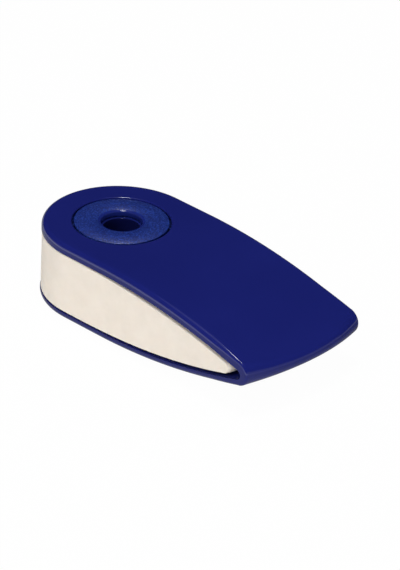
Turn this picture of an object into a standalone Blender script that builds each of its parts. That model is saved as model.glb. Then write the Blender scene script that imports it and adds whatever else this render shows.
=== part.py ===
"""Swivel eraser: a rubber wedge that turns on a hub inside a U-shaped sleeve.

Metres, +Z up. The sleeve lies on the flat of its lower leaf, the nose points along +X,
and the hub axis is vertical. The eraser swings out of the sleeve on either side.
"""
import math

import bmesh
import bpy
from mathutils import Vector

MM = 0.001

# Sleeve: two leaves joined at the nose, each with a round window over the hub
END_RADIUS = 13.0 * MM          # round end, about the hub axis
NOSE_RADIUS = 43.0 * MM         # hub axis to the middle of the front edge
NOSE_CURVE = 40.5 * MM          # radius of the front edge, seen from above
THICKNESS = 13.4 * MM           # over both leaves at the hub
FLAT_REACH = 7.9 * MM           # each leaf stays flat this far ahead of the hub axis
LEAF_WALL = 1.37 * MM
SLOT_DROP = 0.24 * MM           # the slot lies this far below mid height
WEB_WALL = 1.35 * MM            # web between the slot and the front edge
EDGE_RADIUS = 0.95 * MM         # outer edges along the sides and the round end
CORNER_RADIUS = 0.5 * MM        # the same edges where they go down the ends of the nose
FAN_LENGTH = 6.0 * MM           # rows across the leaf curve round to the nose over this length
WINDOW_RADIUS = 8.1 * MM
WINDOW_CHAMFER = 0.25 * MM

# Eraser
FLUSH_INSET = 0.1 * MM          # its outline inside the sleeve's outline
ERASER_THICKNESS = 10.26 * MM   # the slab round the hub, before it tapers
TIP_THICKNESS = 1.54 * MM
TIP_CORNER_RADIUS = 0.8 * MM
ERASER_EDGE = 0.2 * MM          # its long edges and round end; the tip is a full round

# Hub: two halves, a socket and a spigot, each with a disc in its window and a flange under
# the leaf, which clamp the eraser between them
HUB_BORE_RADIUS = 3.4 * MM
CROWN_HEIGHT = 0.4 * MM         # rise of the crown above its edges
CROWN_PROUD = 0.11 * MM         # top of the crown above the face of the leaf, hub centred
HUB_FLOAT = 0.19 * MM           # the hub sits this far above mid height
LIP_DEPTH = 0.85 * MM           # bore of the socket half, down to the end of the spigot
STEP_WIDTH = 0.4 * MM           # spigot's bore inside the hub's bore
FLANGE_WIDTH = 1.6 * MM         # flange past the disc
FLANGE_WALL = 0.5 * MM
TUBE_WALL = 0.65 * MM

# Clearances
SWING_CLEARANCE = 0.06 * MM     # eraser to leaf as the eraser swings
TIP_CLEARANCE = 2.6 * MM        # eraser tip to the closed end of the slot
RING_CLEARANCE = 0.3 * MM       # hub disc in the window
SEAT_CLEARANCE = 0.3 * MM       # between pieces that touch
SPIGOT_GAP = 0.2 * MM           # end of the spigot to the lip of the socket half
FLANGE_CLEARANCE = 0.12 * MM    # flange to the leaf above it and to the eraser under it

# How finely curves are divided
END_STEPS = 14
SIDE_STEPS = 20
CORNER_STEPS = 5
NOSE_STEPS = 8
FAN_STEPS = 4
ROUND_STEPS = 6
FILLET_STEPS = 5
TURN_STEPS = 48
CROWN_STEPS = 14
CUTTER_MARGIN = 3.0 * MM        # how far a cutter runs past what it cuts
LEAST_LAND = 0.05 * MM          # a rim with less than this between its edge arcs is a full round
MERGE_DISTANCE = 0.001 * MM

# Derived sizes
HALF_THICKNESS = THICKNESS / 2
HUB_X = (END_RADIUS - NOSE_RADIUS) / 2
NOSE_CENTRE = Vector((NOSE_RADIUS - NOSE_CURVE, 0.0))
SLOT_HALF = HALF_THICKNESS - LEAF_WALL
SLOT_END = NOSE_RADIUS - WEB_WALL
TIP_RADIUS = SLOT_END - TIP_CLEARANCE
ERASER_END_RADIUS = END_RADIUS - FLUSH_INSET
RING_RADIUS = WINDOW_RADIUS - RING_CLEARANCE
FLANGE_RADIUS = RING_RADIUS + FLANGE_WIDTH
SPIGOT_BORE_RADIUS = HUB_BORE_RADIUS - STEP_WIDTH
SPIGOT_RADIUS = SPIGOT_BORE_RADIUS + TUBE_WALL
SOCKET_RADIUS = SPIGOT_RADIUS + SEAT_CLEARANCE
TUBE_RADIUS = SOCKET_RADIUS + TUBE_WALL
ERASER_BORE_RADIUS = TUBE_RADIUS + SEAT_CLEARANCE


def sweep_radius(reach, drop):
    """Radius of a bend that starts at FLAT_REACH and falls by the drop at the reach."""
    run = reach - FLAT_REACH
    return (run ** 2 + drop ** 2) / (2 * drop)


SWEEP_RADIUS = sweep_radius(TIP_RADIUS, SLOT_HALF - SWING_CLEARANCE - TIP_THICKNESS / 2)


def swept_drop(x):
    """Fall of the leaf, which is flat as far as FLAT_REACH and then bends down to the nose."""
    run = max(x - FLAT_REACH, 0.0)
    return SWEEP_RADIUS - math.sqrt(SWEEP_RADIUS ** 2 - run ** 2)


def slot_half(x):
    """Half the gap between the leaves."""
    return SLOT_HALF - swept_drop(x)


def leaf_half(x):
    """Half the thickness over both leaves."""
    return HALF_THICKNESS - swept_drop(x)


def eraser_half(x):
    """Half the eraser's thickness, low enough to pass the leaves at every angle of its swing."""
    swing_radius = min(math.hypot(max(x, 0.0), ERASER_END_RADIUS), TIP_RADIUS)
    return min(ERASER_THICKNESS / 2, slot_half(swing_radius) - SWING_CLEARANCE)


CROWN_TOP = HALF_THICKNESS + CROWN_PROUD
CROWN_BASE = CROWN_TOP - CROWN_HEIGHT
STEP_BASE = CROWN_BASE - LIP_DEPTH
SPIGOT_END = STEP_BASE - SPIGOT_GAP
FLANGE_TOP = SLOT_HALF - FLANGE_CLEARANCE
FLANGE_BASE = FLANGE_TOP - FLANGE_WALL
SOCKET_END = -FLANGE_BASE + SEAT_CLEARANCE
SEAT_HALF = FLANGE_BASE - FLANGE_CLEARANCE
FLANGE_DROP = SLOT_DROP + HUB_FLOAT
SEAT_RADIUS = FLANGE_RADIUS + SEAT_CLEARANCE


def arc_stations(centre, radius, start, stop, steps):
    """Points of an arc with their outward normals, from one angle to another."""
    stations = []
    for step in range(steps + 1):
        angle = start + (stop - start) * step / steps
        normal = Vector((math.cos(angle), math.sin(angle)))
        stations.append((centre + radius * normal, normal))
    return stations


def tongue_outline(end_radius, nose_radius, corner_radius):
    """Half the plan outline, from the back of the round end to the tip of the nose.

    Both ends are arcs about the hub axis. The side is straight and tangent to the round end, and
    a corner arc joins it to the nose.
    """
    side_angle = math.pi / 2
    corner_ratio = (end_radius - corner_radius) / (nose_radius - corner_radius)
    corner_angle = side_angle - math.acos(corner_ratio)
    hub = Vector((0.0, 0.0))
    corner_direction = Vector((math.cos(corner_angle), math.sin(corner_angle)))
    corner_centre = (nose_radius - corner_radius) * corner_direction

    end = arc_stations(hub, end_radius, math.pi, side_angle, END_STEPS)
    corner = arc_stations(corner_centre, corner_radius, side_angle, corner_angle, CORNER_STEPS)
    nose = arc_stations(hub, nose_radius, corner_angle, 0.0, NOSE_STEPS)
    start, normal = end[-1]
    finish = corner[0][0]
    side = [(start.lerp(finish, step / SIDE_STEPS), normal) for step in range(1, SIDE_STEPS)]
    return end + side + corner + nose[1:]


def rim_arc(point, normal, half, edge_radius):
    """Slope of the face towards the rim, and the radius and centre height of the rim's arc.

    The arc is tangent to the upper face, or a full round where the rim is thin.
    """
    step = MERGE_DISTANCE
    slope = math.atan((half(point.x - step) - half(point.x + step)) / (2 * step) * normal.x)
    full_round = edge_radius
    for _ in range(12):
        full_round = half(point.x - full_round * normal.x) * math.cos(slope)
    radius = edge_radius if edge_radius < full_round - LEAST_LAND else full_round
    return slope, radius, half(point.x - radius * normal.x) - radius / math.cos(slope)


def rim_point(point, normal, arc, turn):
    """A point of the rim's arc, from the upper face at turn 0 to the side at turn 1."""
    slope, radius, centre_height = arc
    tilt = slope + (math.pi / 2 - slope) * turn
    place = point - radius * (1 - math.sin(tilt)) * normal
    return Vector((place.x, place.y, centre_height + radius * math.cos(tilt))), tilt


def tongue_sections(outline, half, side_edge, nose_edge):
    """Sections of a tongue-shaped block: the centre line, its rounded rim, and mid height."""
    sections = []
    for point, normal in outline:
        edge = side_edge + (nose_edge - side_edge) * max(normal.x, 0.0)
        arc = rim_arc(point, normal, half, edge)
        rim = [rim_point(point, normal, arc, turn / FILLET_STEPS)[0] for turn in range(FILLET_STEPS + 1)]
        sections.append([Vector((rim[0].x, 0.0, rim[0].z))] + rim + [Vector((point.x, point.y, 0.0))])
    return sections


def leaf_normal(x):
    """Outward normal of the upper leaf's face."""
    step = MERGE_DISTANCE
    return Vector((leaf_half(x - step) - leaf_half(x + step), 0.0, 2 * step)).normalized()


def nose_point(angle, turn):
    """A point of the sleeve's fully rounded front edge, at an angle about its centre, and its normal."""
    normal = Vector((math.cos(angle), math.sin(angle)))
    point = NOSE_CENTRE + NOSE_CURVE * normal
    place, tilt = rim_point(point, normal, rim_arc(point, normal, leaf_half, HALF_THICKNESS), turn)
    return place, Vector((normal.x * math.sin(tilt), normal.y * math.sin(tilt), math.cos(tilt)))


def nose_end_angle(turn):
    """Angle about its centre at which the front edge meets the sleeve's side."""
    angle = 0.0
    for _ in range(12):
        place, _normal = nose_point(angle, turn)
        angle = math.asin(END_RADIUS / (place.xy - NOSE_CENTRE).length)
    return angle


def rounded_edge(corner, face_normal, side_normal, radius):
    """An arc tangent to a face and a side that meet at the corner."""
    centre = corner - radius * (face_normal + side_normal) / (1 + face_normal.dot(side_normal))
    edge = []
    for step in range(FILLET_STEPS + 1):
        edge.append(centre + radius * face_normal.slerp(side_normal, step / FILLET_STEPS))
    return edge


def case_row(place, edge, reach):
    """A row across the sleeve: over its face, round its edge, and down its side to mid height.

    The place is a function of the share of the row's width, and the face ends at the reach.
    """
    face = [place(reach * step / NOSE_STEPS) for step in range(NOSE_STEPS)]
    return face + edge + [Vector((edge[-1].x, edge[-1].y, 0.0))]


def case_sections():
    """Rows across the sleeve: straight ones, then ones that fan out, then ones round the nose."""
    side_angle = math.pi / 2
    end = arc_stations(Vector((0.0, 0.0)), END_RADIUS, math.pi, side_angle, END_STEPS)
    side_start, side_normal = end[-1]
    rim_angle = nose_end_angle(0.0)
    fan_x = nose_point(rim_angle, 0.0)[0].x - FAN_LENGTH
    fan_start = Vector((fan_x, END_RADIUS))
    side = [(side_start.lerp(fan_start, step / SIDE_STEPS), side_normal)
            for step in range(1, SIDE_STEPS + 1)]
    rows = []

    for point, normal in end + side:
        corner = Vector((point.x, point.y, leaf_half(point.x)))
        edge = rounded_edge(corner, leaf_normal(point.x), normal.to_3d(), EDGE_RADIUS)
        middle = Vector((edge[0].x, 0.0, edge[0].z))
        rows.append(case_row(lambda share: middle.lerp(edge[0], share), edge, 1.0))

    for step in range(1, FAN_STEPS + 1):
        fan = step / FAN_STEPS

        def fan_place(share):
            straight = Vector((fan_start.x, fan_start.y * share))
            place = straight.lerp(nose_point(rim_angle * share, 0.0)[0].xy, fan)
            return Vector((place.x, place.y, leaf_half(place.x)))

        corner = fan_place(1.0)
        radius = EDGE_RADIUS + (CORNER_RADIUS - EDGE_RADIUS) * fan
        edge = rounded_edge(corner, leaf_normal(corner.x), side_normal.to_3d(), radius)
        rows.append(case_row(fan_place, edge, edge[0].y / corner.y))

    for step in range(1, ROUND_STEPS + 1):
        turn = step / ROUND_STEPS
        end_angle = nose_end_angle(turn)
        corner, normal = nose_point(end_angle, turn)
        edge = rounded_edge(corner, normal, side_normal.to_3d(), CORNER_RADIUS)
        rows.append(case_row(lambda share: nose_point(end_angle * share, turn)[0], edge,
                             edge[0].y / corner.y))
    return rows


def lofted_solid(name, sections, collection):
    """A block lofted from sections along a quarter of it, and mirrored."""
    last_section = len(sections) - 1
    last_point = len(sections[0]) - 1

    quarter = bmesh.new()
    bmesh.ops.create_grid(quarter, x_segments=last_section, y_segments=last_point, size=0.5)
    for vertex in quarter.verts:
        along = round((vertex.co.x + 0.5) * last_section)
        across = round((vertex.co.y + 0.5) * last_point)
        vertex.co = sections[along][across]
    bmesh.ops.remove_doubles(quarter, verts=quarter.verts, dist=MERGE_DISTANCE)
    mesh = bpy.data.meshes.new(name)
    quarter.to_mesh(mesh)
    quarter.free()

    solid = add_object(name, mesh, collection)
    mirror = solid.modifiers.new("both sides", "MIRROR")
    mirror.use_axis = (False, True, True)
    mirror.merge_threshold = MERGE_DISTANCE
    return solid


def turned_solid(name, profile, closed, collection):
    """A profile of (radius, height) points, turned about the hub axis."""
    turning = bmesh.new()
    corners = [turning.verts.new((radius, 0.0, height)) for radius, height in profile]
    for first, second in zip(corners, corners[1:]):
        turning.edges.new((first, second))
    if closed:
        turning.edges.new((corners[-1], corners[0]))
    mesh = bpy.data.meshes.new(name)
    turning.to_mesh(mesh)
    turning.free()

    solid = add_object(name, mesh, collection)
    screw = solid.modifiers.new("turn", "SCREW")
    screw.steps = TURN_STEPS
    screw.render_steps = TURN_STEPS
    screw.use_merge_vertices = True
    screw.merge_threshold = MERGE_DISTANCE
    screw.use_smooth_shade = True
    return solid


def add_object(name, mesh, collection):
    """Put a mesh in a collection as an object."""
    new_object = bpy.data.objects.new(name, mesh)
    collection.objects.link(new_object)
    return new_object


def cut(solid, cutter):
    """Take a cutter out of a solid, and keep the cutter only as a wire guide."""
    boolean = solid.modifiers.new(cutter.name, "BOOLEAN")
    boolean.operation = "DIFFERENCE"
    boolean.solver = "EXACT"
    boolean.object = cutter
    cutter.display_type = "WIRE"
    cutter.hide_render = True


def paint(solid, colour, roughness):
    """Give a piece a plain material of its own."""
    material = bpy.data.materials.new(solid.name)
    material.use_nodes = True
    shader = material.node_tree.nodes["Principled BSDF"]
    shader.inputs["Base Color"].default_value = (*colour, 1.0)
    shader.inputs["Roughness"].default_value = roughness
    shader.inputs["Metallic"].default_value = 0.0
    solid.data.materials.append(material)


def shade(solid):
    """Smooth shading with the real edges kept sharp."""
    solid.data.shade_smooth()
    solid.data.set_sharp_from_angle(angle=math.radians(40))


def make_sleeve(parts, cutters):
    """The moulded case: a rounded block with a slot for the eraser and two round windows."""
    sleeve = lofted_solid("sleeve", case_sections(), parts)

    slot_outline = tongue_outline(END_RADIUS + CUTTER_MARGIN, SLOT_END, CUTTER_MARGIN)
    slot_sections = tongue_sections(slot_outline, slot_half, ERASER_EDGE, HALF_THICKNESS)
    slot = lofted_solid("slot", slot_sections, cutters)
    cut(sleeve, slot)

    face = HALF_THICKNESS - WINDOW_CHAMFER
    flare = WINDOW_RADIUS + WINDOW_CHAMFER + CUTTER_MARGIN
    top = HALF_THICKNESS + CUTTER_MARGIN
    windows = turned_solid("windows", [(0.0, top), (flare, top), (WINDOW_RADIUS, face),
                                       (WINDOW_RADIUS, -face), (flare, -top), (0.0, -top)],
                           False, cutters)
    cut(sleeve, windows)
    shade(sleeve)
    paint(sleeve, (0.010, 0.013, 0.120), 0.25)
    return sleeve


def make_eraser(parts, cutters):
    """The rubber wedge, bored for the hub, with a shallow seat for each flange."""
    outline = tongue_outline(ERASER_END_RADIUS, TIP_RADIUS, TIP_CORNER_RADIUS)
    sections = tongue_sections(outline, eraser_half, ERASER_EDGE, TIP_THICKNESS)
    eraser = lofted_solid("eraser", sections, parts)

    top = HALF_THICKNESS + CUTTER_MARGIN
    bore = turned_solid("eraser_bore", [(0.0, top), (SEAT_RADIUS, top), (SEAT_RADIUS, SEAT_HALF),
                                        (ERASER_BORE_RADIUS, SEAT_HALF), (ERASER_BORE_RADIUS, -SEAT_HALF),
                                        (SEAT_RADIUS, -SEAT_HALF), (SEAT_RADIUS, -top), (0.0, -top)],
                        False, cutters)
    cut(eraser, bore)
    shade(eraser)
    paint(eraser, (0.84, 0.75, 0.65), 0.85)
    return eraser


def crown_points():
    """The disc's arched crown, from the bore out to the rim."""
    points = []
    for step in range(CROWN_STEPS + 1):
        share = step / CROWN_STEPS
        radius = HUB_BORE_RADIUS + (RING_RADIUS - HUB_BORE_RADIUS) * share
        points.append((radius, CROWN_BASE + CROWN_HEIGHT * (1 - (2 * share - 1) ** 2)))
    return points


def flange_points(outer, inner):
    """The flange that holds a disc in the slot, from the disc's side round to the flange's inner face."""
    return [(RING_RADIUS, outer), (FLANGE_RADIUS, outer), (FLANGE_RADIUS, inner)]


def make_hub(parts):
    """Two crowned and flanged discs: the upper one carries a socket tube, the lower one a spigot."""
    upper_flange = flange_points(FLANGE_TOP - FLANGE_DROP, FLANGE_BASE - FLANGE_DROP)
    socket = [(TUBE_RADIUS, FLANGE_BASE - FLANGE_DROP), (TUBE_RADIUS, SOCKET_END - FLANGE_DROP),
              (SOCKET_RADIUS, SOCKET_END - FLANGE_DROP), (SOCKET_RADIUS, STEP_BASE),
              (HUB_BORE_RADIUS, STEP_BASE)]
    upper = turned_solid("upper_hub", crown_points() + upper_flange + socket, True, parts)

    lower_crown = [(radius, -height) for radius, height in reversed(crown_points())]
    lower_flange = flange_points(-FLANGE_TOP - FLANGE_DROP, -FLANGE_BASE - FLANGE_DROP)
    spigot = [(SPIGOT_BORE_RADIUS, -CROWN_BASE), (SPIGOT_BORE_RADIUS, SPIGOT_END),
              (SPIGOT_RADIUS, SPIGOT_END), (SPIGOT_RADIUS, -FLANGE_BASE - FLANGE_DROP)]
    lower = turned_solid("lower_hub", lower_crown + spigot + lower_flange[::-1], True, parts)
    for half in (upper, lower):
        paint(half, (0.014, 0.024, 0.180), 0.6)
    return upper, lower


def main():
    for old in list(bpy.data.objects):
        bpy.data.objects.remove(old, do_unlink=True)
    parts = bpy.data.collections.new("swivel_eraser")
    cutters = bpy.data.collections.new("cutters")
    for collection in (parts, cutters):
        bpy.context.scene.collection.children.link(collection)

    sleeve = make_sleeve(parts, cutters)
    eraser = make_eraser(parts, cutters)
    upper_hub, lower_hub = make_hub(parts)

    # The sleeve and the cutters stand about one point of the hub axis, and so does the swivel
    hub_point = (HUB_X, 0.0, HALF_THICKNESS)
    swivel = bpy.data.objects.new("swivel_axis", None)
    parts.objects.link(swivel)
    swivel.location = hub_point
    for piece in (eraser, upper_hub, lower_hub):
        piece.parent = swivel
    for half in (upper_hub, lower_hub):
        half.location.z = HUB_FLOAT
    for piece in [sleeve] + list(cutters.objects):
        piece.location = hub_point
    for piece in (eraser, cutters.objects["slot"], cutters.objects["eraser_bore"]):
        piece.location.z -= SLOT_DROP


main()
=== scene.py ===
"""Swivel eraser in its sleeve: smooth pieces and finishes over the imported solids.

Metres, +Z up, in the frame of the solids: the sleeve lies flat with its nose along +X, and
the hub axis is vertical. Each tongue-shaped piece is a grid laid over its own sections.
"""
import math

import bpy
from mathutils import Matrix, Vector


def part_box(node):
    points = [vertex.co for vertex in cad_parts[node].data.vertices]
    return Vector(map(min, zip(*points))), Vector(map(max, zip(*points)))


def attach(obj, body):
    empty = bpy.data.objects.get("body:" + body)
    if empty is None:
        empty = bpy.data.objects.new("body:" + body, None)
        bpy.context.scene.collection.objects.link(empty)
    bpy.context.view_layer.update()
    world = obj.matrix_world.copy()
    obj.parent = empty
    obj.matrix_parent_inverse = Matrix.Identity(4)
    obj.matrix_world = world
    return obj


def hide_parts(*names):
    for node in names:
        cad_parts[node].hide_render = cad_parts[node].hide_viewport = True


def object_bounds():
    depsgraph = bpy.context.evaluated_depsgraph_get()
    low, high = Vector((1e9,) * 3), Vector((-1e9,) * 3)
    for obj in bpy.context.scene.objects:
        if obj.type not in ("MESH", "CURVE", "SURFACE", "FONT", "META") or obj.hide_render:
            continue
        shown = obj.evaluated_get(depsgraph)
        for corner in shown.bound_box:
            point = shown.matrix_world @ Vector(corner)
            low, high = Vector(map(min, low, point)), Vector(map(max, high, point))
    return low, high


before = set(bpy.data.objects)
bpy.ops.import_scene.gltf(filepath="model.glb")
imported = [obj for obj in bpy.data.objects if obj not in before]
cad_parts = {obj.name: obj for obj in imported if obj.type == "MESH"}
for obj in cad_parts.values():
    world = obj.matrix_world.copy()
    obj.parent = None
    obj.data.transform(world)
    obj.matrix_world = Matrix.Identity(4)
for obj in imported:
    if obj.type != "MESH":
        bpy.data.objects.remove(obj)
cad_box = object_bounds()

MM = 0.001

# Read from the solids
sleeve_low, sleeve_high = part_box("sleeve")
eraser_low, eraser_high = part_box("eraser")
upper_low, upper_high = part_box("upper_hub")
lower_low, _lower_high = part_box("lower_hub")
HUB = Vector(((upper_low.x + upper_high.x) / 2, 0.0, (sleeve_low.z + sleeve_high.z) / 2))
END_RADIUS = HUB.x - sleeve_low.x
NOSE_RADIUS = sleeve_high.x - HUB.x
HALF_THICKNESS = sleeve_high.z - HUB.z
ERASER_END_RADIUS = HUB.x - eraser_low.x
TIP_RADIUS = eraser_high.x - HUB.x
FLANGE_RADIUS = upper_high.x - HUB.x
HUB_FLOAT = (upper_high.z + lower_low.z) / 2 - HUB.z
CROWN_TOP = (upper_high.z - lower_low.z) / 2

# Sleeve
FLAT_REACH = 7.9 * MM            # each leaf stays flat this far ahead of the hub axis
LEAF_WALL = 1.37 * MM
SLOT_DROP = 0.24 * MM            # the slot lies this far below mid height
WEB_WALL = 1.35 * MM
EDGE_RADIUS = 0.95 * MM          # edges along the sides and the round end
CORNER_RADIUS = 0.5 * MM         # the same edges where they go down the ends of the nose
NOSE_CURVE = 40.5 * MM           # radius of the front edge, seen from above
FAN_LENGTH = 6.0 * MM            # rows across the leaf curve round to the nose over this length
WINDOW_RADIUS = 8.1 * MM
WINDOW_ROUND = 0.3 * MM
WINDOW_FLARE = 15.0              # degrees at which the round of a window meets the leaf

# Eraser
SWING_CLEARANCE = 0.06 * MM
ERASER_THICKNESS = 10.26 * MM    # the slab round the hub, before it tapers
TIP_THICKNESS = 1.54 * MM
TIP_CORNER_RADIUS = 0.8 * MM
ERASER_EDGE = 0.2 * MM
ERASER_BORE_RADIUS = 4.9 * MM
ERASER_SAG = 0.1 * MM            # the soft wedge droops this much half way along
SAG_LENGTH = 44.0 * MM

# Hub
HUB_BORE_RADIUS = 3.4 * MM
CROWN_HEIGHT = 0.4 * MM
LIP_DEPTH = 0.85 * MM
SPIGOT_GAP = 0.2 * MM
SPIGOT_BORE_RADIUS = 3.0 * MM
SPIGOT_RADIUS = 3.65 * MM
SOCKET_RADIUS = 3.95 * MM
TUBE_RADIUS = 4.6 * MM
FLANGE_WIDTH = 1.6 * MM          # flange past the disc, under the leaf
FLANGE_WALL = 0.5 * MM
FLANGE_CLEARANCE = 0.12 * MM
SEAT_CLEARANCE = 0.3 * MM
HUB_ROUND = 0.08 * MM            # small rounds on the hub's rims
LIP_ROUND = 0.3 * MM             # and a larger one on the lip of its bore
HUB_ROUND_ANGLE = 40.0           # degrees; the rims that are rounded are sharper than this
GRAIN_FADE = 0.25 * MM           # the grain starts over this width outside the lip

# How finely curves are divided
END_STEPS = 40
SIDE_STEPS = 60
CORNER_STEPS = 12
NOSE_STEPS = 24
FAN_STEPS = 14
ROUND_STEPS = 16
FILLET_STEPS = 10
FACE_STEPS = 16
CROWN_STEPS = 32
TURN_STEPS = 128
LIP_STEPS = 10                   # the small rounds of the windows and of the hub's lip
HUB_ROUND_STEPS = 3
SOLVE_STEPS = 12                 # tries that settle a value found by repetition

SHARP_ANGLE = 35.0               # degrees; edges sharper than this aren't smoothed
SLEEVE_SHARP_ANGLE = 14.0        # the same on the sleeve, less than WINDOW_FLARE
CUTTER_MARGIN = 3.0 * MM         # how far a cutter runs past what it cuts
LEAST_LAND = 0.05 * MM           # a rim with less than this between its edge arcs is a full round
MERGE_DISTANCE = 0.002 * MM

# Finishes: each pair of colours is what a pattern runs between
SLEEVE_BLUES = ((0.0079, 0.0119, 0.1254), (0.0091, 0.0134, 0.1373))
GRAIN_BLUES = ((0.0018, 0.0105, 0.1130), (0.0190, 0.0520, 0.3100))
# painted shade: the bore's blue, darker deep in the bore than at its lip
BORE_SHADE_BLUES = ((0.0055, 0.0080, 0.0700), (0.0090, 0.0170, 0.1500))
ERASER_CREAMS = ((0.855, 0.775, 0.679), (0.904, 0.824, 0.730))
PLASTIC_IOR = 1.5
BORE_ROUGHNESS = 0.1

# Studio
FLOOR_SIZE = 6.0
FLOOR_WHITE = 0.98               # share of the floor's look that is plain white to the camera
FLOOR_PAPER = 0.75               # how much light it sends back up
FLOOR_GLOSS = 0.44               # what the polished faces mirror of it beside the object
FLOOR_GLOW = 3.2                 # painted light: how many times brighter it is in front
GLOW_START = 32.0 * MM           # how far in front the brighter part starts
GLOW_FULL = 46.0 * MM
FLOOR_SHADE = 0.12               # and what they mirror behind, a painted shadow of the object
SHADE_START = -9.0 * MM
SHADE_FULL = 30.0 * MM
FLOOR_FAR = 0.45                 # painted light added to it far away
FAR_START = 60.0 * MM
FAR_FULL = 120.0 * MM
SKY_LIGHT = 0.16                 # even light from all round
SKY_GLOSS = 0.015                # what the polished faces mirror of it
TARGET = HUB + Vector((15.30 * MM, 2.94 * MM, 0.07 * MM))

# Camera: fitted to the photograph
VIEW_AZIMUTH = math.radians(-47.0)
VIEW_ELEVATION = math.radians(28.84)
VIEW_ROLL = math.radians(2.8)
VIEW_DISTANCE = 629.0 * MM
LENS_PIXELS = 3900.0             # focal length in pixels
LONG_SIDE_PIXELS = 570.0
SENSOR_WIDTH = 36.0
CLIP_START = 10.0 * MM

# Derived sizes
SLOT_HALF = HALF_THICKNESS - LEAF_WALL
SLOT_END = NOSE_RADIUS - WEB_WALL
RING_RADIUS = FLANGE_RADIUS - FLANGE_WIDTH
NOSE_CENTRE = Vector((NOSE_RADIUS - NOSE_CURVE, 0.0))


def sweep_radius(reach, drop):
    """Radius of a bend that starts at FLAT_REACH and falls by the drop at the reach."""
    run = reach - FLAT_REACH
    return (run ** 2 + drop ** 2) / (2 * drop)


SWEEP_RADIUS = sweep_radius(TIP_RADIUS, SLOT_HALF - SWING_CLEARANCE - TIP_THICKNESS / 2)


def swept_drop(x):
    """Fall of the leaf, which is flat as far as FLAT_REACH and then bends down to the nose."""
    run = max(x - FLAT_REACH, 0.0)
    return SWEEP_RADIUS - math.sqrt(SWEEP_RADIUS ** 2 - run ** 2)


def slot_half(x):
    """Half the gap between the leaves."""
    return SLOT_HALF - swept_drop(x)


def leaf_half(x):
    """Half the thickness over both leaves."""
    return HALF_THICKNESS - swept_drop(x)


def eraser_half(x):
    """Half the eraser's thickness, which falls away from the leaves towards its tip."""
    swing_radius = min(math.hypot(max(x, 0.0), ERASER_END_RADIUS), TIP_RADIUS)
    return min(ERASER_THICKNESS / 2, slot_half(swing_radius) - SWING_CLEARANCE)


CROWN_BASE = CROWN_TOP - CROWN_HEIGHT
STEP_BASE = CROWN_BASE - LIP_DEPTH
SPIGOT_END = STEP_BASE - SPIGOT_GAP
FLANGE_TOP = SLOT_HALF - FLANGE_CLEARANCE
FLANGE_BASE = FLANGE_TOP - FLANGE_WALL
SOCKET_END = -FLANGE_BASE + SEAT_CLEARANCE
SEAT_HALF = FLANGE_BASE - FLANGE_CLEARANCE
FLANGE_DROP = SLOT_DROP + HUB_FLOAT
SEAT_RADIUS = FLANGE_RADIUS + SEAT_CLEARANCE


def arc_stations(centre, radius, start, stop, steps):
    """Points of an arc with their outward normals, from one angle to another."""
    stations = []
    for step in range(steps + 1):
        angle = start + (stop - start) * step / steps
        normal = Vector((math.cos(angle), math.sin(angle)))
        stations.append((centre + radius * normal, normal))
    return stations


def tongue_outline(end_radius, nose_radius, corner_radius):
    """Half the plan outline, from the back of the round end to the tip of the nose."""
    side_angle = math.pi / 2
    corner_ratio = (end_radius - corner_radius) / (nose_radius - corner_radius)
    corner_angle = side_angle - math.acos(corner_ratio)
    hub = Vector((0.0, 0.0))
    corner_direction = Vector((math.cos(corner_angle), math.sin(corner_angle)))
    corner_centre = (nose_radius - corner_radius) * corner_direction

    end = arc_stations(hub, end_radius, math.pi, side_angle, END_STEPS)
    corner = arc_stations(corner_centre, corner_radius, side_angle, corner_angle, CORNER_STEPS)
    nose = arc_stations(hub, nose_radius, corner_angle, 0.0, NOSE_STEPS)
    start, normal = end[-1]
    finish = corner[0][0]
    side = [(start.lerp(finish, step / SIDE_STEPS), normal) for step in range(1, SIDE_STEPS)]
    return end + side + corner + nose[1:]


def rim_arc(point, normal, half, edge_radius):
    """Slope of the face towards the rim, and the radius and centre height of the rim's arc.

    The arc is tangent to the upper face, or a full round where the rim is thin.
    """
    step = MERGE_DISTANCE
    slope = math.atan((half(point.x - step) - half(point.x + step)) / (2 * step) * normal.x)
    full_round = edge_radius
    for _ in range(SOLVE_STEPS):
        full_round = half(point.x - full_round * normal.x) * math.cos(slope)
    radius = edge_radius if edge_radius < full_round - LEAST_LAND else full_round
    return slope, radius, half(point.x - radius * normal.x) - radius / math.cos(slope)


def rim_point(point, normal, arc, turn):
    """A point of the rim's arc, from the face at turn 0 to the side at turn 1, and its tilt."""
    slope, radius, centre_height = arc
    tilt = slope + (math.pi / 2 - slope) * turn
    place = point - radius * (1 - math.sin(tilt)) * normal
    return Vector((place.x, place.y, centre_height + radius * math.cos(tilt))), tilt


def tongue_sections(outline, half, side_edge, nose_edge):
    """Sections of a tongue-shaped block: a row over its face, its rounded rim, and mid height."""
    sections = []
    for point, normal in outline:
        edge = side_edge + (nose_edge - side_edge) * max(normal.x, 0.0)
        arc = rim_arc(point, normal, half, edge)
        rim = []
        for step in range(FILLET_STEPS + 1):
            rim.append(rim_point(point, normal, arc, step / FILLET_STEPS)[0])
        middle = Vector((rim[0].x, 0.0, rim[0].z))
        face = [middle.lerp(rim[0], step / FACE_STEPS) for step in range(FACE_STEPS)]
        sections.append(face + rim + [Vector((point.x, point.y, 0.0))])
    return sections


def leaf_normal(x):
    """Outward normal of the upper leaf's face."""
    step = MERGE_DISTANCE
    return Vector((leaf_half(x - step) - leaf_half(x + step), 0.0, 2 * step)).normalized()


def nose_point(angle, turn):
    """A point of the sleeve's fully rounded front edge, and its normal."""
    normal = Vector((math.cos(angle), math.sin(angle)))
    point = NOSE_CENTRE + NOSE_CURVE * normal
    place, tilt = rim_point(point, normal, rim_arc(point, normal, leaf_half, HALF_THICKNESS), turn)
    return place, Vector((normal.x * math.sin(tilt), normal.y * math.sin(tilt), math.cos(tilt)))


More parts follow.
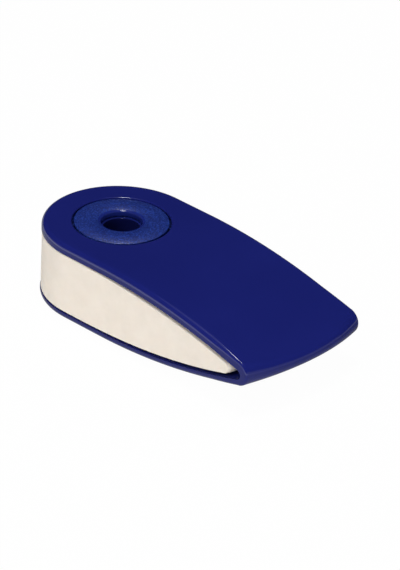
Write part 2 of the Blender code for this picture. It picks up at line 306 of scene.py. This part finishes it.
def nose_end_angle(turn):
    """Angle about its centre at which the front edge meets the sleeve's side."""
    angle = 0.0
    for _ in range(SOLVE_STEPS):
        place, _normal = nose_point(angle, turn)
        angle = math.asin(END_RADIUS / (place.xy - NOSE_CENTRE).length)
    return angle


def rounded_edge(corner, face_normal, side_normal, radius):
    """An arc tangent to a face and a side that meet at the corner."""
    centre = corner - radius * (face_normal + side_normal) / (1 + face_normal.dot(side_normal))
    edge = []
    for step in range(FILLET_STEPS + 1):
        edge.append(centre + radius * face_normal.slerp(side_normal, step / FILLET_STEPS))
    return edge


def case_row(place, edge, reach):
    """A row across the sleeve: over its face, round its edge, and down its side to mid height.

    The place is a function of the share of the row's width, and the face ends at the reach.
    """
    face = [place(reach * step / FACE_STEPS) for step in range(FACE_STEPS)]
    return face + edge + [Vector((edge[-1].x, edge[-1].y, 0.0))]


def case_sections():
    """Rows across the sleeve: straight ones, then ones that fan out, then ones round the nose."""
    side_angle = math.pi / 2
    end = arc_stations(Vector((0.0, 0.0)), END_RADIUS, math.pi, side_angle, END_STEPS)
    side_start, side_normal = end[-1]
    rim_angle = nose_end_angle(0.0)
    fan_x = nose_point(rim_angle, 0.0)[0].x - FAN_LENGTH
    fan_start = Vector((fan_x, END_RADIUS))
    side = [(side_start.lerp(fan_start, step / SIDE_STEPS), side_normal)
            for step in range(1, SIDE_STEPS + 1)]
    rows = []

    for point, normal in end + side:
        corner = Vector((point.x, point.y, leaf_half(point.x)))
        edge = rounded_edge(corner, leaf_normal(point.x), normal.to_3d(), EDGE_RADIUS)
        middle = Vector((edge[0].x, 0.0, edge[0].z))
        rows.append(case_row(lambda share: middle.lerp(edge[0], share), edge, 1.0))

    for step in range(1, FAN_STEPS + 1):
        fan = step / FAN_STEPS

        def fan_place(share):
            straight = Vector((fan_start.x, fan_start.y * share))
            place = straight.lerp(nose_point(rim_angle * share, 0.0)[0].xy, fan)
            return Vector((place.x, place.y, leaf_half(place.x)))

        corner = fan_place(1.0)
        radius = EDGE_RADIUS + (CORNER_RADIUS - EDGE_RADIUS) * fan
        edge = rounded_edge(corner, leaf_normal(corner.x), side_normal.to_3d(), radius)
        rows.append(case_row(fan_place, edge, edge[0].y / corner.y))

    for step in range(1, ROUND_STEPS + 1):
        turn = step / ROUND_STEPS
        end_angle = nose_end_angle(turn)
        corner, normal = nose_point(end_angle, turn)
        edge = rounded_edge(corner, normal, side_normal.to_3d(), CORNER_RADIUS)
        rows.append(case_row(lambda share: nose_point(end_angle * share, turn)[0], edge,
                             edge[0].y / corner.y))
    return rows


def lofted_piece(name, sections, drop=0.0):
    """A block: a grid laid over the sections of a quarter of it, mirrored twice and lowered."""
    last_section = len(sections) - 1
    last_point = len(sections[0]) - 1

    bpy.ops.object.select_all(action="DESELECT")
    bpy.ops.mesh.primitive_grid_add(
        x_subdivisions=last_section, y_subdivisions=last_point, size=1.0)
    piece = bpy.context.object
    piece.name = name
    piece.data.name = name
    for vertex in piece.data.vertices:
        along = round((vertex.co.x + 0.5) * last_section)
        across = round((vertex.co.y + 0.5) * last_point)
        vertex.co = sections[along][across]

    mirror = piece.modifiers.new("both sides", "MIRROR")
    mirror.use_axis = (False, True, True)
    mirror.merge_threshold = MERGE_DISTANCE
    bpy.ops.object.modifier_apply(modifier=mirror.name)
    piece.location = HUB - Vector((0.0, 0.0, drop))
    bpy.ops.object.transform_apply(location=True, rotation=False, scale=False)
    clean_mesh(piece)
    return piece


def clean_mesh(piece):
    """Merge doubles and turn every face outwards."""
    bpy.ops.object.mode_set(mode="EDIT")
    bpy.ops.mesh.select_all(action="SELECT")
    bpy.ops.mesh.remove_doubles(threshold=MERGE_DISTANCE)
    bpy.ops.mesh.normals_make_consistent(inside=False)
    bpy.ops.object.mode_set(mode="OBJECT")


def turned_piece(name, profile):
    """A closed profile of (radius, height) points, drawn by extruding one point and then spun."""
    radius, height = profile[0]
    start = HUB + Vector((radius, 0.0, height))
    bpy.ops.object.select_all(action="DESELECT")
    bpy.ops.mesh.primitive_plane_add(size=MM, location=start)
    piece = bpy.context.object
    piece.name = name
    piece.data.name = name
    bpy.ops.object.transform_apply(location=True, rotation=False, scale=False)
    bpy.ops.object.mode_set(mode="EDIT")
    bpy.ops.mesh.merge(type="CENTER")
    for first, second in zip(profile, profile[1:] + profile[:1]):
        move = (second[0] - first[0], 0.0, second[1] - first[1])
        bpy.ops.mesh.extrude_region_move(TRANSFORM_OT_translate={"value": move})
    bpy.ops.mesh.select_all(action="SELECT")
    bpy.ops.mesh.remove_doubles(threshold=MERGE_DISTANCE)
    bpy.ops.mesh.spin(steps=TURN_STEPS, angle=math.tau, center=HUB, axis=(0.0, 0.0, 1.0))
    bpy.ops.object.mode_set(mode="OBJECT")
    clean_mesh(piece)
    return piece


def cut(piece, cutter):
    """Take a cutter out of a piece and throw the cutter away."""
    bpy.ops.object.select_all(action="DESELECT")
    bpy.context.view_layer.objects.active = piece
    piece.select_set(True)
    boolean = piece.modifiers.new(cutter.name, "BOOLEAN")
    boolean.operation = "DIFFERENCE"
    boolean.solver = "EXACT"
    boolean.object = cutter
    bpy.ops.object.modifier_apply(modifier=boolean.name)
    bpy.data.objects.remove(cutter, do_unlink=True)


def shade(piece, material, sharp_angle=SHARP_ANGLE):
    """Smooth shading that keeps flat faces flat and real edges sharp, and the piece's finish."""
    bpy.ops.object.select_all(action="DESELECT")
    bpy.context.view_layer.objects.active = piece
    piece.select_set(True)
    bpy.ops.object.shade_smooth_by_angle(angle=math.radians(sharp_angle))
    weighted = piece.modifiers.new("flat faces", "WEIGHTED_NORMAL")
    weighted.keep_sharp = True
    bpy.ops.object.modifier_apply(modifier=weighted.name)
    piece.data.materials.clear()
    piece.data.materials.append(material)


def round_corner(centre_radius, centre_height, turn_from, turn_to, radius):
    """Points of a small arc in a profile, about a centre, from one angle in degrees to another."""
    points = []
    for step in range(LIP_STEPS + 1):
        angle = math.radians(turn_from + (turn_to - turn_from) * step / LIP_STEPS)
        points.append((centre_radius + radius * math.cos(angle),
                       centre_height + radius * math.sin(angle)))
    return points


def make_sleeve(material):
    """The moulded case: a rounded block with a slot for the eraser and two round windows."""
    sleeve = lofted_piece("sleeve_case", case_sections())
    slot_outline = tongue_outline(END_RADIUS + CUTTER_MARGIN, SLOT_END, CUTTER_MARGIN)
    slot_sections = tongue_sections(slot_outline, slot_half, ERASER_EDGE, HALF_THICKNESS)
    cut(sleeve, lofted_piece("slot", slot_sections, SLOT_DROP))

    top = HALF_THICKNESS + CUTTER_MARGIN
    flare = round_corner(WINDOW_RADIUS + WINDOW_ROUND, HALF_THICKNESS - WINDOW_ROUND,
                         180.0, 90.0 + WINDOW_FLARE, WINDOW_ROUND)
    out_radius, out_height = flare[-1]
    rise = top - out_height
    flare.append((out_radius + rise / math.tan(math.radians(WINDOW_FLARE)), top))
    upper = [(0.0, top)] + list(reversed(flare))
    lower = [(radius, -height) for radius, height in reversed(upper)]
    cut(sleeve, turned_piece("windows", upper + lower))
    shade(sleeve, material, SLEEVE_SHARP_ANGLE)
    return sleeve


def make_eraser(material):
    """The rubber wedge, bored for the hub, with a shallow seat for each flange."""
    outline = tongue_outline(ERASER_END_RADIUS, TIP_RADIUS, TIP_CORNER_RADIUS)
    sections = tongue_sections(outline, eraser_half, ERASER_EDGE, TIP_THICKNESS)
    eraser = lofted_piece("eraser_wedge", sections, SLOT_DROP)
    for vertex in eraser.data.vertices:
        share = min(max(vertex.co.x - HUB.x, 0.0) / SAG_LENGTH, 1.0)
        vertex.co.z -= ERASER_SAG * math.sin(math.pi * share)
    top = HALF_THICKNESS + CUTTER_MARGIN
    upper = [(0.0, top), (SEAT_RADIUS, top),
             (SEAT_RADIUS, SEAT_HALF), (ERASER_BORE_RADIUS, SEAT_HALF)]
    lower = [(radius, -height) for radius, height in reversed(upper)]
    profile = [(radius, height - SLOT_DROP) for radius, height in upper + lower]
    cut(eraser, turned_piece("bore", profile))
    shade(eraser, material)
    return eraser


def crown_points():
    """The disc's arched crown, from the rounded lip of the bore out to the rim."""
    width = RING_RADIUS - HUB_BORE_RADIUS
    slope = math.atan(4 * CROWN_HEIGHT / width)
    centre = CROWN_BASE + LIP_ROUND * ((1 - math.sin(slope)) * math.tan(slope) - math.cos(slope))
    points = round_corner(HUB_BORE_RADIUS + LIP_ROUND, centre,
                          180.0, 90.0 + math.degrees(slope), LIP_ROUND)
    for step in range(CROWN_STEPS + 1):
        share = step / CROWN_STEPS
        radius = HUB_BORE_RADIUS + width * share
        if radius > HUB_BORE_RADIUS + LIP_ROUND:
            points.append((radius, CROWN_BASE + CROWN_HEIGHT * (1 - (2 * share - 1) ** 2)))
    return points


def make_hub_half(name, profile, material):
    """One half of the hub, turned about its axis, with its rims slightly rounded."""
    half = turned_piece(name, [(radius, height + HUB_FLOAT) for radius, height in profile])
    bevel = half.modifiers.new("rims", "BEVEL")
    bevel.width = HUB_ROUND
    bevel.segments = HUB_ROUND_STEPS
    bevel.limit_method = "ANGLE"
    bevel.angle_limit = math.radians(HUB_ROUND_ANGLE)
    bpy.ops.object.modifier_apply(modifier=bevel.name)
    shade(half, material)
    return half


def flange_points(outer, inner):
    """The flange that holds a disc in the slot, from the disc's side to its own inner face."""
    return [(RING_RADIUS, outer), (FLANGE_RADIUS, outer), (FLANGE_RADIUS, inner)]


def make_hub(material):
    """Two crowned and flanged discs: the upper one has a socket tube, the lower one a spigot."""
    upper_flange = flange_points(FLANGE_TOP - FLANGE_DROP, FLANGE_BASE - FLANGE_DROP)
    socket = [(TUBE_RADIUS, FLANGE_BASE - FLANGE_DROP), (TUBE_RADIUS, SOCKET_END - FLANGE_DROP),
              (SOCKET_RADIUS, SOCKET_END - FLANGE_DROP), (SOCKET_RADIUS, STEP_BASE),
              (HUB_BORE_RADIUS, STEP_BASE)]
    upper = make_hub_half("hub_socket_half", crown_points() + upper_flange + socket, material)

    lower_crown = [(radius, -height) for radius, height in reversed(crown_points())]
    lower_flange = flange_points(-FLANGE_TOP - FLANGE_DROP, -FLANGE_BASE - FLANGE_DROP)
    spigot = [(SPIGOT_BORE_RADIUS, -CROWN_BASE), (SPIGOT_BORE_RADIUS, SPIGOT_END),
              (SPIGOT_RADIUS, SPIGOT_END), (SPIGOT_RADIUS, -FLANGE_BASE - FLANGE_DROP)]
    lower = make_hub_half("hub_spigot_half", lower_crown + spigot + lower_flange[::-1], material)
    return upper, lower


def new_material(name):
    """A node material, with its nodes, links, shader and Object coordinates."""
    material = bpy.data.materials.new(name)
    material.use_nodes = True
    tree = material.node_tree
    shader = tree.nodes["Principled BSDF"]
    place = tree.nodes.new("ShaderNodeTexCoord").outputs["Object"]
    return material, tree.nodes, tree.links, shader, place


def noise(nodes, links, place, scale, detail, roughness=0.5):
    """A noise pattern on the piece's own coordinates, with its scale per metre."""
    texture = nodes.new("ShaderNodeTexNoise")
    texture.inputs["Scale"].default_value = scale
    texture.inputs["Detail"].default_value = detail
    texture.inputs["Roughness"].default_value = roughness
    links.new(place, texture.inputs["Vector"])
    return texture.outputs["Fac"]


def ramp(nodes, links, factor, colours, start=0.3, stop=0.7):
    """A pattern's range from start to stop mapped on to a range between two colours."""
    node = nodes.new("ShaderNodeValToRGB")
    links.new(factor, node.inputs["Fac"])
    for element, place, colour in zip(node.color_ramp.elements, (start, stop), colours):
        element.position = place
        element.color = (*colour, 1.0)
    return node.outputs["Color"]


def spread(nodes, links, factor, low, high, start=0.3, stop=0.7):
    """A pattern's range from start to stop mapped on to a range of values."""
    node = nodes.new("ShaderNodeMapRange")
    links.new(factor, node.inputs["Value"])
    node.inputs["From Min"].default_value = start
    node.inputs["From Max"].default_value = stop
    node.inputs["To Min"].default_value = low
    node.inputs["To Max"].default_value = high
    return node.outputs["Result"]


def product(nodes, links, first, second):
    """Two values multiplied."""
    node = nodes.new("ShaderNodeMath")
    node.operation = "MULTIPLY"
    links.new(first, node.inputs[0])
    links.new(second, node.inputs[1])
    return node.outputs["Value"]


def axis_radius(nodes, links, place):
    """Distance of a place from the hub axis."""
    offset = nodes.new("ShaderNodeVectorMath")
    offset.operation = "SUBTRACT"
    offset.inputs[1].default_value = HUB
    links.new(place, offset.inputs[0])
    level = nodes.new("ShaderNodeVectorMath")
    level.operation = "MULTIPLY"
    level.inputs[1].default_value = (1.0, 1.0, 0.0)
    links.new(offset.outputs["Vector"], level.inputs[0])
    length = nodes.new("ShaderNodeVectorMath")
    length.operation = "LENGTH"
    links.new(level.outputs["Vector"], length.inputs[0])
    return length.outputs["Value"]


def bump(nodes, links, height, distance, strength):
    """Surface relief from a pattern, its depth in metres."""
    node = nodes.new("ShaderNodeBump")
    node.inputs["Distance"].default_value = distance
    node.inputs["Strength"].default_value = strength
    links.new(height, node.inputs["Height"])
    return node.outputs["Normal"]


def polished_blue():
    """Sleeve: deep blue moulded plastic with a polished face."""
    material, nodes, links, shader, place = new_material("polished_blue_plastic")
    flow = noise(nodes, links, place, scale=60.0, detail=2.0)
    colour = ramp(nodes, links, flow, SLEEVE_BLUES)
    links.new(colour, shader.inputs["Base Color"])
    scuff = noise(nodes, links, place, scale=900.0, detail=5.0, roughness=0.65)
    dull = spread(nodes, links, scuff, low=0.06, high=0.10)
    links.new(dull, shader.inputs["Roughness"])
    ripple = noise(nodes, links, place, scale=350.0, detail=2.0)
    relief = bump(nodes, links, ripple, distance=0.012 * MM, strength=0.35)
    links.new(relief, shader.inputs["Normal"])
    shader.inputs["IOR"].default_value = PLASTIC_IOR
    return material


def grained_blue():
    """Hub: the same blue with the grain of a spark-eroded mould, and a polished lip and bore, whose
    blue darkens inwards as painted shade.
    """
    material, nodes, links, shader, place = new_material("grained_blue_plastic")
    grain = noise(nodes, links, place, scale=4000.0, detail=1.0)
    speckle = ramp(nodes, links, grain, GRAIN_BLUES, start=0.45, stop=0.70)
    radius = axis_radius(nodes, links, place)
    lip = HUB_BORE_RADIUS + LIP_ROUND
    crown = spread(nodes, links, radius, 0.0, 1.0, start=lip, stop=lip + GRAIN_FADE)
    # painted shade: darker at the spigot's narrower bore, lighter up at the lip's wall
    bore_shade = spread(nodes, links, radius, 0.0, 1.0, start=SPIGOT_BORE_RADIUS, stop=HUB_BORE_RADIUS)
    bore = ramp(nodes, links, bore_shade, BORE_SHADE_BLUES, start=0.0, stop=1.0)
    colour = nodes.new("ShaderNodeMix")
    colour.data_type = "RGBA"
    links.new(bore, colour.inputs["A"])
    links.new(crown, colour.inputs["Factor"])
    links.new(speckle, colour.inputs["B"])
    links.new(colour.outputs["Result"], shader.inputs["Base Color"])
    dull = spread(nodes, links, grain, low=0.52, high=0.3)
    polish = nodes.new("ShaderNodeMix")
    polish.data_type = "FLOAT"
    polish.inputs["A"].default_value = BORE_ROUGHNESS
    links.new(crown, polish.inputs["Factor"])
    links.new(dull, polish.inputs["B"])
    links.new(polish.outputs["Result"], shader.inputs["Roughness"])
    pits = product(nodes, links, grain, crown)
    relief = bump(nodes, links, pits, distance=0.055 * MM, strength=1.0)
    links.new(relief, shader.inputs["Normal"])
    shader.inputs["IOR"].default_value = PLASTIC_IOR
    return material


def cream_vinyl():
    """Eraser: soft off-white vinyl with a faint mottle and a dull skin."""
    material, nodes, links, shader, place = new_material("cream_vinyl")
    mottle = noise(nodes, links, place, scale=420.0, detail=4.0, roughness=0.6)
    colour = ramp(nodes, links, mottle, ERASER_CREAMS)
    links.new(colour, shader.inputs["Base Color"])
    skin = noise(nodes, links, place, scale=2600.0, detail=3.0)
    dull = spread(nodes, links, skin, low=0.55, high=0.7)
    links.new(dull, shader.inputs["Roughness"])
    relief = bump(nodes, links, skin, distance=0.03 * MM, strength=0.25)
    links.new(relief, shader.inputs["Normal"])
    shader.inputs["Subsurface Weight"].default_value = 0.25
    shader.inputs["Subsurface Radius"].default_value = (1.0, 0.8, 0.6)
    shader.inputs["Subsurface Scale"].default_value = 0.6 * MM
    shader.inputs["Specular IOR Level"].default_value = 0.35
    return material


def make_floor():
    """A pale floor: white to the camera, and in reflections a painted pool of light in front and a
    painted shadow behind.
    """
    material, nodes, links, _shader, place = new_material("pale_floor")
    nodes.remove(nodes["Principled BSDF"])
    path = nodes.new("ShaderNodeLightPath")
    paper = nodes.new("ShaderNodeBsdfDiffuse")
    paper.inputs["Color"].default_value = (FLOOR_PAPER, FLOOR_PAPER, FLOOR_PAPER, 1.0)
    white = nodes.new("ShaderNodeEmission")
    glow = nodes.new("ShaderNodeEmission")
    split = nodes.new("ShaderNodeSeparateXYZ")
    links.new(place, split.inputs["Vector"])
    across = split.outputs["Y"]
    front = spread(nodes, links, across, FLOOR_GLOW, 1.0, -GLOW_FULL, -GLOW_START)
    behind = spread(nodes, links, across, FLOOR_GLOSS, FLOOR_SHADE, SHADE_START, SHADE_FULL)
    shaded = product(nodes, links, front, behind)
    far = nodes.new("ShaderNodeVectorMath")
    far.operation = "LENGTH"
    links.new(place, far.inputs[0])
    far_glow = spread(nodes, links, far.outputs["Value"], 0.0, FLOOR_FAR, FAR_START, FAR_FULL)
    total = nodes.new("ShaderNodeMath")
    links.new(shaded, total.inputs[0])
    links.new(far_glow, total.inputs[1])
    links.new(total.outputs["Value"], glow.inputs["Strength"])

    mirrored = nodes.new("ShaderNodeMixShader")
    links.new(path.outputs["Is Glossy Ray"], mirrored.inputs["Fac"])
    links.new(paper.outputs["BSDF"], mirrored.inputs[1])
    links.new(glow.outputs["Emission"], mirrored.inputs[2])
    share = nodes.new("ShaderNodeMath")
    share.operation = "MULTIPLY"
    share.inputs[1].default_value = FLOOR_WHITE
    links.new(path.outputs["Is Camera Ray"], share.inputs[0])
    seen = nodes.new("ShaderNodeMixShader")
    links.new(share.outputs["Value"], seen.inputs["Fac"])
    links.new(mirrored.outputs["Shader"], seen.inputs[1])
    links.new(white.outputs["Emission"], seen.inputs[2])
    links.new(seen.outputs["Shader"], nodes["Material Output"].inputs["Surface"])

    bpy.ops.object.select_all(action="DESELECT")
    bpy.ops.mesh.primitive_plane_add(size=FLOOR_SIZE, location=(0.0, 0.0, cad_box[0].z))
    floor = bpy.context.object
    floor.name = "floor"
    floor.data.materials.append(material)


def make_world():
    """White to the camera, an even fill for the object, and a dim room in its reflections."""
    world = bpy.data.worlds.new("studio")
    bpy.context.scene.world = world
    world.use_nodes = True
    nodes = world.node_tree.nodes
    links = world.node_tree.links
    nodes.clear()
    output = nodes.new("ShaderNodeOutputWorld")
    sky = nodes.new("ShaderNodeBackground")
    path = nodes.new("ShaderNodeLightPath")
    gloss = nodes.new("ShaderNodeMix")
    gloss.data_type = "FLOAT"
    gloss.inputs["A"].default_value = SKY_LIGHT
    gloss.inputs["B"].default_value = SKY_GLOSS
    links.new(path.outputs["Is Glossy Ray"], gloss.inputs["Factor"])
    seen = nodes.new("ShaderNodeMix")
    seen.data_type = "FLOAT"
    seen.inputs["B"].default_value = 1.0
    links.new(path.outputs["Is Camera Ray"], seen.inputs["Factor"])
    links.new(gloss.outputs["Result"], seen.inputs["A"])
    links.new(seen.outputs["Result"], sky.inputs["Strength"])
    links.new(sky.outputs["Background"], output.inputs["Surface"])


def soft_light(name, azimuth, elevation, distance, size, radiance):
    """A soft light of (width, height) metres that faces the object, as bright as its radiance."""
    turn = math.radians(azimuth)
    lift = math.radians(elevation)
    away = Vector((math.cos(lift) * math.cos(turn),
                   math.cos(lift) * math.sin(turn),
                   math.sin(lift)))
    lamp = bpy.data.lights.new(name, "AREA")
    lamp.shape = "ELLIPSE"
    lamp.size, lamp.size_y = size
    area = math.pi * lamp.size * lamp.size_y / 4
    lamp.energy = radiance * math.pi * area
    light = bpy.data.objects.new(name, lamp)
    bpy.context.scene.collection.objects.link(light)
    light.location = TARGET + away * distance
    light.rotation_euler = away.to_track_quat("Z", "Y").to_euler()
    light.visible_camera = False
    return light


def make_lamps():
    """An overhead lamp with its halo, two low strips, and fills that reflections don't show."""
    soft_light("spot", azimuth=180.0, elevation=86.0, distance=0.6, size=(0.14, 0.14), radiance=37.0)
    soft_light("halo", azimuth=180.0, elevation=86.0, distance=0.62, size=(0.5, 0.5), radiance=0.35)
    soft_light("strip", azimuth=-125.0, elevation=7.0, distance=0.8, size=(1.4, 0.2), radiance=0.75)
    soft_light("back_strip", azimuth=20.0, elevation=7.0, distance=0.8, size=(1.2, 0.2), radiance=0.35)
    key = soft_light("key", azimuth=-86.0, elevation=42.0, distance=0.8, size=(1.0, 0.5), radiance=2.5)
    above = soft_light("top_fill", azimuth=-60.0, elevation=78.0, distance=0.8, size=(0.8, 0.8),
                       radiance=0.25)
    front = soft_light("front_fill", azimuth=-85.0, elevation=11.0, distance=0.8, size=(0.7, 0.2),
                       radiance=0.95)
    right = soft_light("right_fill", azimuth=-15.0, elevation=11.0, distance=0.8, size=(0.7, 0.2),
                       radiance=6.0)
    for fill in (key, above, front, right):
        fill.visible_glossy = False


def make_camera():
    """A long lens at the photograph's angle, with its small roll."""
    back = Vector((math.cos(VIEW_ELEVATION) * math.cos(VIEW_AZIMUTH),
                   math.cos(VIEW_ELEVATION) * math.sin(VIEW_AZIMUTH),
                   math.sin(VIEW_ELEVATION)))
    right = Vector((-math.sin(VIEW_AZIMUTH), math.cos(VIEW_AZIMUTH), 0.0))
    up = back.cross(right)
    rolled_right = math.cos(VIEW_ROLL) * right + math.sin(VIEW_ROLL) * up
    rolled_up = back.cross(rolled_right)
    turn = Matrix((rolled_right, rolled_up, back)).transposed()
    data = bpy.data.cameras.new("camera")
    data.sensor_width = SENSOR_WIDTH
    data.lens = LENS_PIXELS / LONG_SIDE_PIXELS * SENSOR_WIDTH
    data.clip_start = CLIP_START
    camera = bpy.data.objects.new("camera", data)
    bpy.context.scene.collection.objects.link(camera)
    camera.location = TARGET + back * VIEW_DISTANCE
    camera.rotation_euler = turn.to_euler()
    bpy.context.scene.camera = camera


def place_piece(piece, body, node):
    """Put a finished piece on its body, in place of its solid."""
    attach(piece, body)
    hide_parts(node)


def main():
    """Make and place the pieces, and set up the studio."""
    sleeve = make_sleeve(polished_blue())
    eraser = make_eraser(cream_vinyl())
    upper_hub, lower_hub = make_hub(grained_blue())
    place_piece(sleeve, "sleeve", "sleeve")
    place_piece(eraser, "eraser", "eraser")
    place_piece(upper_hub, "eraser", "upper_hub")
    place_piece(lower_hub, "eraser", "lower_hub")

    make_floor()
    make_world()
    make_lamps()
    make_camera()
    bpy.context.scene.view_settings.view_transform = "Standard"


main()
